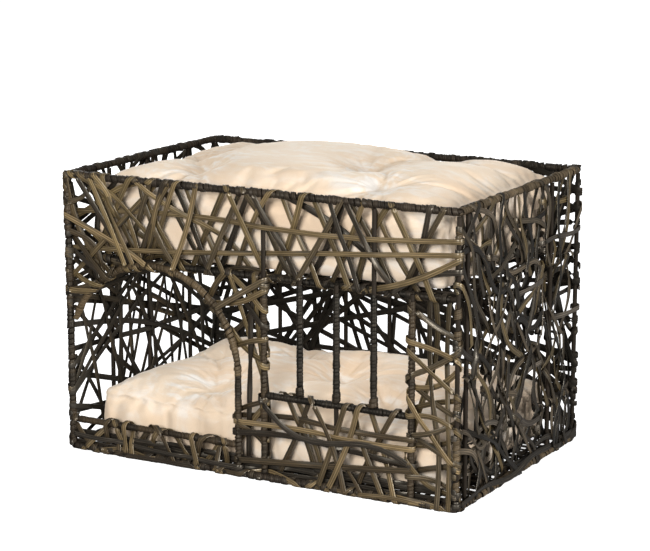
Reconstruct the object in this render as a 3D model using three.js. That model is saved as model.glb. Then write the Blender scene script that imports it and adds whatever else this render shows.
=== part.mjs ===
// A two-level wicker pet bed: a welded wire frame, woven panels of ribbed strip on every side,
// a bound arched doorway, a barred window, a shelf that makes an open tray on top, and two loose cushions.
// Millimetres. X runs along the front, Y from front to back, Z up. The origin is the middle of the base.
import * as THREE from "three";

// The welded frame, measured between the centre lines of its wires.
const frameWidth = 574.4;
const frameDepth = 367.2;
const frameHeight = 372;
const shelfAboveBase = 262;
const wireRadius = 3;
const wireSides = 12;

// The binding strip that is wound round the rims and the arch.
const boundRadius = 5.2;
const clearance = 0.3;

// The woven panels are two ribbed strips thick where the strips cross.
const stripThickness = 1.3;
const panelThickness = 2 * stripThickness;

// The arched doorway, in the left part of the front.
const archCentreX = -156;
const archRadius = 131;
const archSpringAboveBase = 130;
const doorSillAboveBase = 38;
const archSteps = 28;

// The barred window, in the right part of the front.
const windowLeftX = 14;
const windowRightX = 225;
const windowSillAboveBase = 110;
const windowBays = 4;

// Upright wires that stiffen the other walls, and the wires that carry the shelf and the floor.
const leftStiffenersY = [-87, 4, 110];
const rightStiffenersY = [-159, 96];
const backStiffenersX = [-177, -67, 4];
const crossWiresX = [-95, 95];

// The two cushions: a straight side, and a crowned top.
const cushionCornerRadius = 45;
const cushionCrownSteps = 5;
const cushionTopShare = 0.3;
const lowerCushion = { width: 512, depth: 330, side: 64, height: 102 };
const upperCushion = { width: 520, depth: 326, side: 78, height: 127 };

// Levels and wire planes worked out from these.
const baseLevel = boundRadius;
const rimLevel = baseLevel + frameHeight;
const shelfLevel = baseLevel + shelfAboveBase;
const doorSillLevel = baseLevel + doorSillAboveBase;
const archSpringLevel = baseLevel + archSpringAboveBase;
const windowSillLevel = baseLevel + windowSillAboveBase;
const halfWidth = frameWidth / 2;
const halfDepth = frameDepth / 2;
const wireGap = wireRadius + clearance;
const boundGap = boundRadius + clearance;
const uprightBottom = baseLevel + boundGap;
const uprightTop = rimLevel - boundGap;
const panelOffset = wireGap + panelThickness / 2;
const shelfInset = boundGap + wireRadius;
const archOpeningRadius = archRadius + boundGap;
const archFootAngle = Math.acos(1 - (boundGap + wireRadius) / archRadius);
const quarterTurn = Math.PI / 2;

const steel = new THREE.MeshStandardMaterial({ color: 0x1c1917, roughness: 0.45, metalness: 0.7 });
const weave = new THREE.MeshStandardMaterial({ color: 0x6d6350, roughness: 0.55, metalness: 0 });
const darkWeave = new THREE.MeshStandardMaterial({ color: 0x2a2521, roughness: 0.55, metalness: 0 });
const binding = new THREE.MeshStandardMaterial({ color: 0x332c27, roughness: 0.6, metalness: 0 });
const plush = new THREE.MeshStandardMaterial({ color: 0xeedfc6, roughness: 0.95, metalness: 0 });

const basket = new THREE.Group();

function addPiece(name, geometry, material) {
  const mesh = new THREE.Mesh(geometry, material);
  mesh.name = name;
  basket.add(mesh);
  return mesh;
}

// A regular outline that lies flat on each side, with its flats at the given distance from the middle.
function roundOutline(flatRadius, Outline) {
  const outline = new Outline();
  const cornerRadius = flatRadius / Math.cos(Math.PI / wireSides);
  for (let side = 0; side < wireSides; side++) {
    const angle = ((side + 0.5) * 2 * Math.PI) / wireSides;
    const x = cornerRadius * Math.cos(angle);
    const y = cornerRadius * Math.sin(angle);
    if (side === 0) outline.moveTo(x, y);
    else outline.lineTo(x, y);
  }
  outline.closePath();
  return outline;
}

function wireSection() {
  return roundOutline(wireRadius, THREE.Shape);
}

// The binding is an open-ended sleeve with a small gap round the wire inside it.
function bindingSection() {
  const section = roundOutline(boundRadius, THREE.Shape);
  section.holes.push(roundOutline(wireGap, THREE.Path));
  return section;
}

// A straight length of a section that runs from one point towards another along X, Y or Z.
function addStraight(name, section, from, to, material) {
  const start = new THREE.Vector3(...from);
  const run = new THREE.Vector3(...to).sub(start);
  const length = run.length();
  const geometry = new THREE.ExtrudeGeometry(section, { depth: length, steps: 1, bevelEnabled: false });
  const mesh = addPiece(name, geometry, material);
  mesh.position.copy(start);
  mesh.quaternion.setFromUnitVectors(new THREE.Vector3(0, 0, 1), run.divideScalar(length));
}

function addWire(name, from, to) {
  addStraight(name, wireSection(), from, to, steel);
}

function addBinding(name, from, to) {
  addStraight(name, bindingSection(), from, to, binding);
}

// A flat panel given by its lowest and highest corners.
function addPanel(name, low, high, material) {
  const size = high.map((value, axis) => value - low[axis]);
  const mesh = addPiece(name, new THREE.BoxGeometry(...size), material);
  mesh.position.set(...low.map((value, axis) => value + size[axis] / 2));
}

// The base rim and the top rim are each four wires, bound with strip. The long wires close the corners.
function addRim(prefix, level) {
  const longReach = halfWidth + boundRadius;
  const shortReach = halfDepth - boundGap;
  for (const [place, side] of [["front", -1], ["back", 1]]) {
    const y = side * halfDepth;
    addWire(`${prefix}_wire_${place}`, [-longReach, y, level], [longReach, y, level]);
    addBinding(`${prefix}_binding_${place}`, [-longReach, y, level], [longReach, y, level]);
  }
  for (const [place, side] of [["left", -1], ["right", 1]]) {
    const x = side * halfWidth;
    addWire(`${prefix}_wire_${place}`, [x, -shortReach, level], [x, shortReach, level]);
    addBinding(`${prefix}_binding_${place}`, [x, -shortReach, level], [x, shortReach, level]);
  }
}

function addCornerPosts() {
  for (const [depthPlace, depthSide] of [["front", -1], ["back", 1]]) {
    for (const [widthPlace, widthSide] of [["left", -1], ["right", 1]]) {
      const x = widthSide * halfWidth;
      const y = depthSide * halfDepth;
      addWire(`corner_post_${depthPlace}_${widthPlace}`, [x, y, uprightBottom], [x, y, uprightTop]);
    }
  }
}

// The shelf frame stands just inside the posts, so that the arch and the uprights pass in front of it.
function addShelfFrame() {
  const railX = halfWidth - shelfInset;
  const railY = halfDepth - shelfInset;
  for (const [place, side] of [["front", -1], ["back", 1]]) {
    const y = side * railY;
    const reachX = railX + wireRadius;
    addWire(`shelf_rail_${place}`, [-reachX, y, shelfLevel], [reachX, y, shelfLevel]);
  }
  const between = railY - wireGap;
  for (const [place, side] of [["left", -1], ["right", 1]]) {
    const x = side * railX;
    addWire(`shelf_rail_${place}`, [x, -between, shelfLevel], [x, between, shelfLevel]);
  }
  crossWiresX.forEach((x, index) => {
    addWire(`shelf_cross_wire_${index + 1}`, [x, -between, shelfLevel], [x, between, shelfLevel]);
  });
}

function addFloorWires() {
  const reach = halfDepth - boundGap;
  crossWiresX.forEach((x, index) => {
    addWire(`floor_cross_wire_${index + 1}`, [x, -reach, baseLevel], [x, reach, baseLevel]);
  });
}

// A section swept along the arch, from the doorway's right jamb over the top to the left corner post.
function addArchSweep(name, section, material) {
  const arch = new THREE.Curve();
  arch.getPoint = (share, target = new THREE.Vector3()) => {
    const angle = share * (Math.PI - archFootAngle);
    const x = archCentreX + archRadius * Math.cos(angle);
    const z = archSpringLevel + archRadius * Math.sin(angle);
    return target.set(x, -halfDepth, z);
  };
  const geometry = new THREE.ExtrudeGeometry(section, { steps: archSteps, extrudePath: arch });
  addPiece(name, geometry, material);
}

function addDoorway() {
  const jambX = archCentreX + archRadius;
  addArchSweep("door_arch_wire", wireSection(), steel);
  addArchSweep("door_arch_binding", bindingSection(), binding);
  const jambTop = archSpringLevel - clearance;
  addWire("door_jamb_right", [jambX, -halfDepth, uprightBottom], [jambX, -halfDepth, jambTop]);
  const sillFrom = [-halfWidth + wireGap, -halfDepth, doorSillLevel];
  addWire("door_sill_rail", sillFrom, [jambX - wireGap, -halfDepth, doorSillLevel]);
}

// Two posts, a sill and three bars. The left post and the last bar run on up to the top rim.
function addWindow() {
  const y = -halfDepth;
  const headLevel = shelfLevel + wireRadius;
  addWire("window_post_left", [windowLeftX, y, uprightBottom], [windowLeftX, y, uprightTop]);
  addWire("window_post_right", [windowRightX, y, uprightBottom], [windowRightX, y, headLevel]);
  const sillEnds = [windowLeftX + wireGap, windowRightX - wireGap];
  addWire("window_sill_rail", [sillEnds[0], y, windowSillLevel], [sillEnds[1], y, windowSillLevel]);
  const bayWidth = (windowRightX - windowLeftX) / windowBays;
  for (let bar = 1; bar < windowBays; bar++) {
    const x = windowLeftX + bar * bayWidth;
    const top = bar === windowBays - 1 ? uprightTop : headLevel;
    addWire(`window_bar_${bar}`, [x, y, windowSillLevel + wireGap], [x, y, top]);
  }
  const middleX = (windowLeftX + windowRightX) / 2;
  addWire("window_foot_wire", [middleX, y, uprightBottom], [middleX, y, windowSillLevel - wireGap]);
}

function addWallStiffeners() {
  leftStiffenersY.forEach((y, index) => {
    addWire(`left_stiffener_${index + 1}`, [-halfWidth, y, uprightBottom], [-halfWidth, y, uprightTop]);
  });
  rightStiffenersY.forEach((y, index) => {
    addWire(`right_stiffener_${index + 1}`, [halfWidth, y, uprightBottom], [halfWidth, y, uprightTop]);
  });
  backStiffenersX.forEach((x, index) => {
    addWire(`back_stiffener_${index + 1}`, [x, halfDepth, uprightBottom], [x, halfDepth, uprightTop]);
  });
}

// The panels of the end walls and the back wall lie just outside the wires.
function addPlainWalls() {
  const reachX = halfWidth + panelOffset + panelThickness / 2;
  const innerX = reachX - panelThickness;
  const innerY = halfDepth + wireGap;
  const reachY = innerY - clearance;
  addPanel("left_weave", [-reachX, -reachY, uprightBottom], [-innerX, reachY, uprightTop], weave);
  addPanel("right_weave", [innerX, -reachY, uprightBottom], [reachX, reachY, uprightTop], weave);
  const backLow = [-reachX, innerY, uprightBottom];
  addPanel("back_weave", backLow, [reachX, innerY + panelThickness, uprightTop], darkWeave);
}

// A front panel extruded from its outline, drawn in X and Z.
function addFrontPanel(name, outline) {
  const geometry = new THREE.ExtrudeGeometry(outline, {
    depth: panelThickness,
    bevelEnabled: false,
    curveSegments: archSteps,
  });
  const mesh = addPiece(name, geometry, weave);
  mesh.rotation.x = quarterTurn;
  mesh.position.y = -halfDepth - wireGap;
}

function rectangle(left, bottom, right, top) {
  const outline = new THREE.Shape();
  outline.moveTo(left, bottom);
  outline.lineTo(right, bottom);
  outline.lineTo(right, top);
  outline.lineTo(left, top);
  outline.closePath();
  return outline;
}

// Between the left corner post, the arch and the shelf: the outline follows the arch.
function leftSpandrel(outerX, top) {
  const footAngle = Math.PI - archFootAngle;
  const headAngle = Math.PI - Math.asin((top - archSpringLevel) / archOpeningRadius);
  const footLevel = archSpringLevel + archOpeningRadius * Math.sin(footAngle);
  const outline = new THREE.Shape();
  outline.moveTo(outerX, top);
  outline.lineTo(outerX, footLevel);
  outline.absarc(archCentreX, archSpringLevel, archOpeningRadius, footAngle, headAngle, true);
  outline.closePath();
  return outline;
}

// Between the arch, the doorway's jamb and the window: straight below the spring line, curved above it.
function centreOutline(right, top) {
  const headAngle = Math.asin((top - archSpringLevel) / archOpeningRadius);
  const left = archCentreX + archOpeningRadius;
  const outline = new THREE.Shape();
  outline.moveTo(right, uprightBottom);
  outline.lineTo(right, top);
  outline.absarc(archCentreX, archSpringLevel, archOpeningRadius, headAngle, 0, true);
  outline.lineTo(left, uprightBottom);
  outline.closePath();
  return outline;
}

function addFrontWeave() {
  const outerX = halfWidth + panelOffset + panelThickness / 2;
  const halfGap = clearance / 2;
  const sideTop = shelfLevel;
  const upperBottom = archSpringLevel + archOpeningRadius + clearance;
  addFrontPanel("front_upper_weave", rectangle(-outerX, upperBottom, outerX, uprightTop));
  addFrontPanel("front_arch_weave", leftSpandrel(-outerX, sideTop));
  addFrontPanel("front_centre_weave", centreOutline(windowLeftX - halfGap, sideTop));
  const lowerEnds = [windowLeftX + halfGap, windowRightX - halfGap];
  const lowerOutline = rectangle(lowerEnds[0], uprightBottom, lowerEnds[1], windowSillLevel);
  addFrontPanel("front_lower_weave", lowerOutline);
  const rightOutline = rectangle(windowRightX + halfGap, uprightBottom, outerX, sideTop);
  addFrontPanel("front_right_weave", rightOutline);
  const apronRight = archCentreX + archOpeningRadius - clearance;
  addFrontPanel("door_apron_weave", rectangle(-outerX, uprightBottom, apronRight, doorSillLevel));
}

// The shelf and the floor lie on their wires, inside the walls.
function addLevels() {
  const shelfX = halfWidth - boundGap;
  const shelfY = halfDepth - boundGap;
  for (const [name, wireLevel] of [["shelf_weave", shelfLevel], ["floor_weave", baseLevel]]) {
    const bottom = wireLevel + wireGap;
    addPanel(name, [-shelfX, -shelfY, bottom], [shelfX, shelfY, bottom + panelThickness], darkWeave);
  }
}

// A quarter of the cushion's outline repeated at each corner: a rectangle with round corners.
function cushionOutline(width, depth) {
  const points = [];
  const stepsPerCorner = 6;
  const reachX = width / 2 - cushionCornerRadius;
  const reachY = depth / 2 - cushionCornerRadius;
  const corners = [[1, 1], [-1, 1], [-1, -1], [1, -1]];
  corners.forEach(([signX, signY], corner) => {
    for (let step = 0; step <= stepsPerCorner; step++) {
      const angle = quarterTurn * (corner + step / stepsPerCorner);
      const x = signX * reachX + cushionCornerRadius * Math.cos(angle);
      const y = signY * reachY + cushionCornerRadius * Math.sin(angle);
      points.push(new THREE.Vector2(x, y));
    }
  });
  return points;
}

// A closed cushion: the outline is stacked up the side, then shrinks over a quarter of an ellipse.
function cushionGeometry({ width, depth, side, height }) {
  const outline = cushionOutline(width, depth);
  const rings = [{ level: 0, scale: 1 }];
  for (let step = 0; step <= cushionCrownSteps; step++) {
    const angle = (quarterTurn * step) / cushionCrownSteps;
    const level = side + (height - side) * Math.sin(angle);
    rings.push({ level, scale: 1 - (1 - cushionTopShare) * (1 - Math.cos(angle)) });
  }
  const positions = [];
  for (const { level, scale } of rings) {
    for (const point of outline) positions.push(point.x * scale, point.y * scale, level);
  }
  const count = outline.length;
  const faces = [];
  for (let ring = 0; ring < rings.length - 1; ring++) {
    for (let index = 0; index < count; index++) {
      const here = ring * count + index;
      const next = ring * count + ((index + 1) % count);
      faces.push(here, next, next + count, here, next + count, here + count);
    }
  }
  const topStart = (rings.length - 1) * count;
  for (let index = 1; index < count - 1; index++) {
    faces.push(0, index + 1, index);
    faces.push(topStart, topStart + index, topStart + index + 1);
  }
  const geometry = new THREE.BufferGeometry();
  geometry.setAttribute("position", new THREE.Float32BufferAttribute(positions, 3));
  geometry.setIndex(faces);
  geometry.computeVertexNormals();
  return geometry;
}

function addCushions() {
  const floorTop = baseLevel + wireGap + panelThickness;
  const shelfTop = shelfLevel + wireGap + panelThickness;
  addPiece("lower_cushion", cushionGeometry(lowerCushion), plush).position.z = floorTop + clearance;
  addPiece("upper_cushion", cushionGeometry(upperCushion), plush).position.z = shelfTop + clearance;
}

addRim("base_rim", baseLevel);
addRim("top_rim", rimLevel);
addCornerPosts();
addShelfFrame();
addFloorWires();
addDoorway();
addWindow();
addWallStiffeners();
addPlainWalls();
addFrontWeave();
addLevels();
addCushions();

export default basket;
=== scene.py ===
"""The looks of a two-level wicker pet bed: its woven strips, wound bindings, wires and two cushions."""
import math
import bpy
import numpy as np
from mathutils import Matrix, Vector


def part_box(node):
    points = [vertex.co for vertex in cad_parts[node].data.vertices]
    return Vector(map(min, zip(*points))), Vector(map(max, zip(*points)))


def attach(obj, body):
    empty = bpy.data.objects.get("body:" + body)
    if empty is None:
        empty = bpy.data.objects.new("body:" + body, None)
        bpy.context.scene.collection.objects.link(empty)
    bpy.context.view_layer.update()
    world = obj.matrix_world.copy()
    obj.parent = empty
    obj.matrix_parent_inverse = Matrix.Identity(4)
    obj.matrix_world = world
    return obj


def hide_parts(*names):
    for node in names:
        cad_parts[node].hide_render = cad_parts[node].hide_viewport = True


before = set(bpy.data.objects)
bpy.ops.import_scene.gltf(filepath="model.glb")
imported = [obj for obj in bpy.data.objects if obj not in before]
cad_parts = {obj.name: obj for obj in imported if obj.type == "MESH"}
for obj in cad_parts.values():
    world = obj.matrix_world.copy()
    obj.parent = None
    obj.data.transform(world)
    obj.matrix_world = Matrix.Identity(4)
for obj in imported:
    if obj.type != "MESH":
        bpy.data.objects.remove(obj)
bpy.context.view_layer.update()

# ---------------------------------------------------------------- driving dimensions, in metres

BODY = "woven_frame"
FLOOR_MARGIN = 0.0030

# Strips and their meshes.
STRIP_WIDTH = 0.0074
WIDTH_SPREAD = 0.07
TONE_SPREAD = 0.13
STRIP_THICKNESS = 0.0013
STRIP_STEP = 0.0045
END_TAPER = 0.7
SHORTEST_LEG = 0.030
# A leg has a curl for every such length beyond its first two.
CURL_LENGTH = 0.055

# A hook is half a turn, apart from a strip's first one and its last one, whose ends are in half turns.
# It creeps along what it turns round, up to a steepest slope.
HOOK_ROWS = 8
FIRST_HOOK_START = 0.35
LAST_HOOK_END = 1.1
STEEPEST_CREEP = 1.6
# Some hooks stand loose, this far off what they turn round.
LOOSE_HOOK = 0.0021
LOOSE_HOOK_SHARE = 0.40
FRONT_HOOK_SHARE = 0.65

# Where strips cross, and where they lie over a wire.
CROSSING_ROOM = STRIP_THICKNESS * 1.08
CROSSING_BATCH = 400
NEIGHBOUR_STEPS = 6
SETTLING_ROUNDS = 90
SETTLING_STIFFNESS = 0.30
WIRE_REACH = 0.004
WIRE_OVERHANG = 0.002

# Painted shade: strips are darkened with depth, by up to this share at this depth.
DEEP_IN_WEAVE = 0.012
DEEP_PAINTED_SHADE = 0.65

# Wires, and the strip that is wound round them.
WIRE_RADIUS = 0.0030
WALL_WIRE = WIRE_RADIUS + 0.0004
BOUND_RADIUS = 0.0047
BASE_HOOK_RADIUS = BOUND_RADIUS - 0.0006
ARCH_FOOT_GAP = 0.0087
RIM_CORNER = 0.005
RIM_STEP = 0.003
RIM_PADDING = 0.0005
RIM_ROUGHNESS = 1.9
KNOT_PADDING = 0.0013
WINDING_PITCH = 0.0062
END_RIM_PITCH = 0.0060
KNOT_PITCH = 0.0055
FINE_PITCH = 0.0046
WINDING_LAP = 1.12
ROWS_PER_TURN = 14
LINE_STEP = 0.004
# Where the front right post is wound: how high each patch starts, and how long it is.
POST_PATCHES = [(0.345, 0.012), (0.246, 0.016), (0.20, 0.03), (0.13, 0.02), (0.07, 0.03), (0.02, 0.02)]

# Heights of the level strips along the base, and what the right end is knotted round.
BASE_STRIP_LEVELS = (0.012, 0.017, 0.024)
KNOTTED_UPRIGHTS = 10
KNOTTED_LEVELS = (0.075, 0.165, 0.265)

# Cushions, with the places of their tufts.
CUSHION_CORNER = 0.012
CUSHION_MESH = 0.0052
RING_POINTS = 240
TUFT_REACH = 0.055
RAY_DEPTH = 0.0005
FURTHEST_SWELL = 0.013
SWELL_FRAMES = 20
CROWN_SPARE = 0.005
SEAM_RIDGE = 0.0016
SEAM_GROOVE = 0.0015
SIDE_RIPPLE = 0.0007
# The sinking at which the painted shade in a fold is full.
DEEPEST_FOLD = 0.0016
UPPER_TUFTS = [(-0.150, 0.095), (0.126, 0.088), (0.070, -0.005),
               (-0.130, -0.095), (0.140, -0.100), (-0.183, -0.010)]
LOWER_TUFTS = [(-0.107, -0.103), (0.028, 0.005), (-0.180, 0.030),
               (0.140, -0.085), (0.160, 0.060), (-0.080, 0.080)]

# One face of a strip's section: share of the half width, share of the half thickness, and painted brightness,
# which is painted shade in the grooves and a painted highlight on the ribs.
# A strip has three ribs and two grooves, and the grooves of a wound strip lie deeper in the dark.
RIBBED = [(-0.80, 0.84, 0.84), (-0.34, 0.50, 0.36), (0.0, 1.0, 1.0), (0.34, 0.50, 0.36), (0.80, 0.84, 0.84)]
PULLED = [(-0.68, 0.90, 0.92), (-0.34, 0.60, 0.42), (0.0, 1.0, 1.0), (0.34, 0.60, 0.42), (0.68, 0.90, 0.92)]
# Painted shade along each strip's edges.
EDGE_BRIGHTNESS = 0.40


def middle(node):
    low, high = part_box(node)
    return (low + high) / 2


FRONT_Y = middle("base_rim_wire_front").y
BACK_Y = middle("base_rim_wire_back").y
LEFT_X = middle("base_rim_wire_left").x
RIGHT_X = middle("base_rim_wire_right").x
BASE_Z = middle("base_rim_wire_front").z
TOP_Z = middle("top_rim_wire_front").z
SHELF_Z = middle("shelf_rail_front").z
SHELF_INSET = middle("shelf_rail_front").y - FRONT_Y
SILL_Z = middle("window_sill_rail").z
DOOR_SILL_Z = middle("door_sill_rail").z
JAMB_X = middle("door_jamb_right").x
POST_LEFT_X = middle("window_post_left").x
POST_RIGHT_X = middle("window_post_right").x
BAR_X = [middle(f"window_bar_{bar}").x for bar in (1, 2, 3)]
FOOT_X = middle("window_foot_wire").x
SPRING_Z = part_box("door_arch_wire")[0].z
ARCH_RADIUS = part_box("door_arch_wire")[1].z - SPRING_Z - WIRE_RADIUS
ARCH_X = JAMB_X - ARCH_RADIUS
ARCH_SHOULDER = SPRING_Z + 0.6 * ARCH_RADIUS
ARCH_FOOT = math.acos(max(-1.0, (LEFT_X - ARCH_X + ARCH_FOOT_GAP) / ARCH_RADIUS))


def stiffener_places(wall, axis, count):
    return [middle(f"{wall}_stiffener_{number}")[axis] for number in range(1, count + 1)]


# ---------------------------------------------------------------- strips as meshes

def section_points(width, profile):
    """The strip's section as rows of (across, up, painted brightness) that run round it, the same on both
    faces.
    """
    top = [(x * width / 2, y * STRIP_THICKNESS / 2, bright) for x, y, bright in profile]
    bottom = [(x, -y, bright) for x, y, bright in reversed(top)]
    return np.array([(-width / 2, 0.0, EDGE_BRIGHTNESS)] + top + [(width / 2, 0.0, EDGE_BRIGHTNESS)] + bottom)


def unit(rows):
    return rows / np.maximum(np.linalg.norm(rows, axis=-1, keepdims=True), 1e-12)


def arc_lengths(path):
    return np.concatenate([[0.0], np.cumsum(np.linalg.norm(np.diff(path, axis=0), axis=1))])


def put_attribute(mesh, name, kind, field, values):
    attribute = mesh.attributes.new(name, kind, "POINT")
    attribute.data.foreach_set(field, np.ascontiguousarray(values, np.float32).reshape(-1))


def mesh_from(name, points, face_groups):
    """A smooth-shaded mesh from points and arrays of faces, each array with its own number of corners."""
    loops = np.concatenate([group.reshape(-1) for group in face_groups])
    sizes = np.concatenate([np.full(len(group), group.shape[1]) for group in face_groups])
    mesh = bpy.data.meshes.new(name)
    mesh.vertices.add(len(points))
    mesh.vertices.foreach_set("co", points.astype(np.float32).reshape(-1))
    mesh.loops.add(len(loops))
    mesh.loops.foreach_set("vertex_index", loops.astype(np.int32))
    mesh.polygons.add(len(sizes))
    mesh.polygons.foreach_set("loop_start", (np.cumsum(sizes) - sizes).astype(np.int32))
    mesh.polygons.foreach_set("use_smooth", np.ones(len(sizes), bool))
    mesh.update(calc_edges=True)
    return mesh


def add_piece(name, mesh, material, body=BODY, replaced=()):
    mesh.materials.append(material)
    piece = bpy.data.objects.new(name, mesh)
    bpy.context.scene.collection.objects.link(piece)
    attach(piece, body)
    if replaced:
        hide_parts(*replaced)
    return piece


def tube_faces(rows, ring, start=0):
    """Side faces and the two end faces of a ring swept along rows."""
    first = start + np.arange(rows - 1)[:, None] * ring
    side = np.arange(ring)[None, :]
    after = (side + 1) % ring
    corners = [first + side, first + after, first + ring + after, first + ring + side]
    sides = np.stack(corners, -1).reshape(-1, 4)
    ends = np.array([start + np.arange(ring)[::-1], start + (rows - 1) * ring + np.arange(ring)])
    return sides, ends


def pressed_flat(points):
    """Presses what would hang below the floor up against it, more the lower it hangs."""
    low = points[:, 2] < FLOOR_MARGIN
    points[low, 2] = FLOOR_MARGIN * np.exp(points[low, 2] / FLOOR_MARGIN - 1)
    return points


class StripMesh:
    """Collects swept strips and turns them into one piece."""

    def __init__(self):
        self.points, self.sides, self.ends = [], [], []
        self.colours, self.flow, self.outward = [], [], []
        self.count = 0

    def add(self, path, faces, colour, width, outward=None, seed=0.0, profile=RIBBED):
        """Sweeps the section along a path. faces give the way the upper face looks at each point."""
        tangent = unit(np.gradient(path, axis=0))
        normal = unit(faces - tangent * (faces * tangent).sum(1, keepdims=True))
        across = np.cross(tangent, normal)
        section = section_points(width, profile)
        rows, ring = len(path), len(section)
        taper = np.ones((rows, 1, 1))
        taper[0] = taper[-1] = END_TAPER
        sideways = across[:, None, :] * (section[None, :, 0:1] * taper)
        offset = sideways + normal[:, None, :] * (section[None, :, 1:2] * taper)
        self.points.append((path[:, None, :] + offset).reshape(-1, 3))
        sides, ends = tube_faces(rows, ring, self.count)
        self.sides.append(sides)
        self.ends.append(ends)
        flow = np.zeros((rows, ring, 3))
        flow[:, :, 0] = section[None, :, 0]
        flow[:, :, 1] = arc_lengths(path)[:, None]
        flow[:, :, 2] = seed
        self.flow.append(flow.reshape(-1, 3))
        tint = np.ones((rows, ring, 4))
        tint[:, :, :3] = colour
        # The alpha carries the section's painted shade and painted highlight.
        tint[:, :, 3] = section[None, :, 2]
        self.colours.append(tint.reshape(-1, 4))
        # How far each point faces out of its panel; the material paints shade on the inner face from it.
        facing = np.ones((rows, ring))
        if outward is not None:
            facing = np.clip(0.5 + 0.8 * (offset @ np.asarray(outward)) / (STRIP_THICKNESS / 2), 0.0, 1.0)
        self.outward.append(facing.reshape(-1))
        self.count += rows * ring

    def build(self, name, material, slot, replaced=()):
        points = pressed_flat(np.concatenate(self.points))
        mesh = mesh_from(name, points, [np.concatenate(self.sides), np.concatenate(self.ends)])
        put_attribute(mesh, "strip_colour", "FLOAT_COLOR", "color", np.concatenate(self.colours))
        put_attribute(mesh, "strip_flow", "FLOAT_VECTOR", "vector", np.concatenate(self.flow))
        put_attribute(mesh, "outward", "FLOAT", "value", np.concatenate(self.outward))
        return add_piece(name, mesh, material, replaced=replaced)


# ---------------------------------------------------------------- rails that strips hook round

class Rail:
    """A straight wire in a panel, with (across, up) ends. depth is how far out of its plane it lies."""

    def __init__(self, start, end, radius, depth=0.0):
        self.start, self.end = np.array(start, float), np.array(end, float)
        self.radius, self.depth = radius, depth
        self.direction = unit(self.end - self.start)

    def at(self, place):
        """The point at a coordinate along the rail's longer way, and the rail's direction there."""
        axis = int(abs(self.direction[1]) > abs(self.direction[0]))
        share = (place - self.start[axis]) / (self.end[axis] - self.start[axis])
        return self.start + (self.end - self.start) * min(max(share, 0.012), 0.988), self.direction

    def meet(self, point, heading):
        """Where a line from a point crosses the rail: (distance along the line, place on the rail) pairs."""
        run = self.end - self.start
        cross = heading[0] * run[1] - heading[1] * run[0]
        if abs(cross) < 1e-9:
            return []
        gap = self.start - point
        distance = (gap[0] * run[1] - gap[1] * run[0]) / cross
        share = (gap[0] * heading[1] - gap[1] * heading[0]) / cross
        axis = int(abs(self.direction[1]) > abs(self.direction[0]))
        return [(distance, self.start[axis] + share * run[axis])] if 0 <= share <= 1 else []

    def pieces(self):
        return [(self.start, self.end, self.radius, self.depth)]


class Arch(Rail):
    """A rail along part of a circle. Its places are angles."""

    def __init__(self, centre, size, from_angle, to_angle, radius):
        self.centre, self.size = np.array(centre, float), size
        self.from_angle, self.to_angle = from_angle, to_angle
        self.radius, self.depth = radius, 0.0

    def at(self, place):
        angle = min(max(place, self.from_angle), self.to_angle)
        out = np.array([math.cos(angle), math.sin(angle)])
        return self.centre + self.size * out, np.array([-out[1], out[0]])

    def covers(self, points):
        """Whether any of the points lies in the opening under the arch."""
        return bool((np.linalg.norm(points - self.centre, axis=-1) < self.size - 0.002).any())

    def meet(self, point, heading):
        gap = point - self.centre
        along = gap @ heading
        inside = along * along - gap @ gap + self.size * self.size
        found = []
        for sign in (-1, 1):
            if inside >= 0:
                distance = -along + sign * math.sqrt(inside)
                across, up = gap + distance * heading
                found.append((distance, math.atan2(up, across)))
        return [(distance, angle) for distance, angle in found if self.from_angle <= angle <= self.to_angle]

    def pieces(self):
        angles = np.linspace(self.from_angle, self.to_angle, 19)
        points = self.centre + self.size * np.column_stack([np.cos(angles), np.sin(angles)])
        return [(start, end, self.radius, 0.0) for start, end in zip(points, points[1:])]


class Strand:
    """One strip as it lies in a panel: rows of (across, up, out) with the way its face looks."""

    def __init__(self, rows, faces, loose, piece, colour, width):
        self.rows, self.faces, self.loose = rows, faces, loose
        self.piece, self.colour, self.width = piece, colour, width


def leg_path(start, end, waves, step):
    """A line in the plane bent by waves, the sizes of its half waves, and its directions at both ends."""
    run = end - start
    length = float(np.linalg.norm(run))
    side = np.array([-run[1], run[0]]) / length
    t = np.linspace(0, 1, max(5, int(round(length / step))) + 1)[:, None]
    halves = np.arange(1, len(waves) + 1)
    path = start + run * t + side * (np.sin(math.pi * t * halves) @ waves)[:, None]
    begin = run + side * math.pi * (halves @ waves)
    finish = run + side * math.pi * ((halves * (-1.0) ** halves) @ waves)
    return path, begin, finish


def hook(rail, point, direction, arriving, leaving, side, spare, turns):
    """Part of a turn round a rail. side is 1 where the strip arrives on the outer face."""
    perpendicular = np.array([-direction[1], direction[0]])
    if perpendicular @ arriving < 0:
        perpendicular = -perpendicular
    slopes = (-STEEPEST_CREEP, STEEPEST_CREEP)
    slope_in = np.clip((arriving @ direction) / max(arriving @ perpendicular, 1e-9), *slopes)
    slope_out = np.clip((leaving @ direction) / max(-(leaving @ perpendicular), 1e-9), *slopes)
    radius = rail.radius + STRIP_THICKNESS / 2 + spare
    turn = np.linspace(*turns, HOOK_ROWS)
    angle = math.pi * turn
    # The strip creeps along the rail as it turns, from its arriving slope to its leaving slope.
    creep = radius * math.pi * (slope_in * turn + (slope_out - slope_in) * turn * turn / 2)
    creep = creep - creep[0]
    rows = np.zeros((len(turn), 3))
    rows[:, :2] = point + direction * creep[:, None] + perpendicular * (radius * np.sin(angle))[:, None]
    rows[:, 2] = rail.depth + side * radius * np.cos(angle)
    faces = np.zeros((len(turn), 3))
    faces[:, :2] = perpendicular * np.sin(angle)[:, None]
    faces[:, 2] = side * np.cos(angle)
    return rows, faces * side, rows[-1, :2].copy()


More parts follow.
